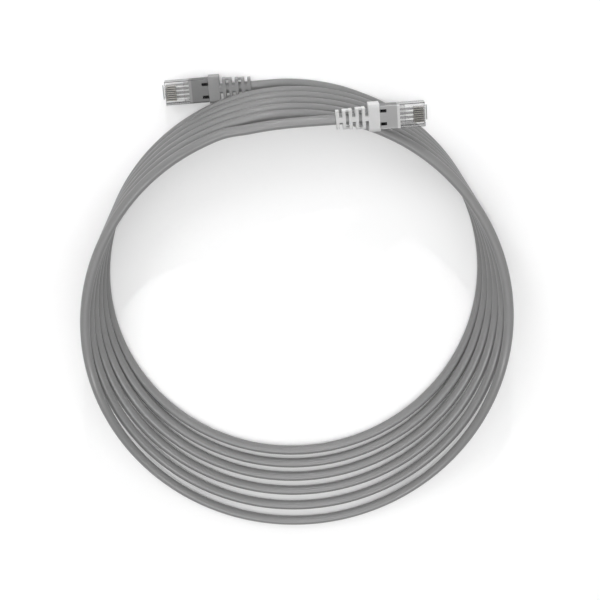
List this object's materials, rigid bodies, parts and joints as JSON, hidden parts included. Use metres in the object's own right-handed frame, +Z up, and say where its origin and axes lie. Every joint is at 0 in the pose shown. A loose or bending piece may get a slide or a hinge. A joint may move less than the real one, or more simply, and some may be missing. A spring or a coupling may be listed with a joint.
{
  "type": "ethernet patch cable",
  "caption": "Coiled round grey network patch cable with a shielded eight-way modular plug and a ribbed strain relief boot on each end.",
  "frame": {"origin": "on the surface the cable lies on, in the middle of the box round the two plugs and boots", "axes": "+Z up; +X from plug a towards plug b, along the two plugs; +Y away from the ring of cable, which lies on the -Y side"},
  "size_m": [0.2221, 0.2514, 0.041],
  "materials": {
    "jacket": "satin PVC jacket",
    "boot": "moulded matt",
    "clear_plastic": "clear polycarbonate",
    "shield_metal": "satin nickel plate",
    "contact_gold": "gold plated",
    "wire_light": "insulation",
    "wire_dark": "insulation",
    "foil": "thin foil"
  },
  "bodies": {
    "root": {"cable_coil": "jacket", "cable_tail_a": "jacket", "cable_tail_b": "jacket", "plug_a_housing": "clear_plastic", "plug_a_shield": "shield_metal", "plug_a_load_bar": "clear_plastic", "plug_a_foil": "foil", "plug_a_cable_end": "jacket", "plug_a_boot": "boot", "plug_a_contact_1": "contact_gold", "plug_a_wire_1": "wire_light", "plug_a_contact_2": "contact_gold", "plug_a_wire_2": "wire_dark", "plug_a_contact_3": "contact_gold", "plug_a_wire_3": "wire_light", "plug_a_contact_4": "contact_gold", "plug_a_wire_4": "wire_dark", "plug_a_contact_5": "contact_gold", "plug_a_wire_5": "wire_light", "plug_a_contact_6": "contact_gold", "plug_a_wire_6": "wire_dark", "plug_a_contact_7": "contact_gold", "plug_a_wire_7": "wire_light", "plug_a_contact_8": "contact_gold", "plug_a_wire_8": "wire_dark", "plug_b_housing": "clear_plastic", "plug_b_shield": "shield_metal", "plug_b_load_bar": "clear_plastic", "plug_b_foil": "foil", "plug_b_cable_end": "jacket", "plug_b_boot": "boot", "plug_b_contact_1": "contact_gold", "plug_b_wire_1": "wire_light", "plug_b_contact_2": "contact_gold", "plug_b_wire_2": "wire_dark", "plug_b_contact_3": "contact_gold", "plug_b_wire_3": "wire_light", "plug_b_contact_4": "contact_gold", "plug_b_wire_4": "wire_dark", "plug_b_contact_5": "contact_gold", "plug_b_wire_5": "wire_light", "plug_b_contact_6": "contact_gold", "plug_b_wire_6": "wire_dark", "plug_b_contact_7": "contact_gold", "plug_b_wire_7": "wire_light", "plug_b_contact_8": "contact_gold", "plug_b_wire_8": "wire_dark"},
    "latch_a": {"plug_a_latch": "clear_plastic"},
    "latch_b": {"plug_b_latch": "clear_plastic"}
  },
  "joints": [
    {"name": "latch_a_press", "type": "hinge", "parent": "root", "child": "latch_a", "pos_m": [-0.06437, 0.00372, 0.00274], "axis": [0.061, -0.9981, 0], "range_deg": [0, 6], "stiffness_Nm_per_rad": 0.3},
    {"name": "latch_b_press", "type": "hinge", "parent": "root", "child": "latch_b", "pos_m": [0.06439, -0.0039, 0.03295], "axis": [-0.0523, 0.9986, 0], "range_deg": [0, 6], "stiffness_Nm_per_rad": 0.3}
  ]
}
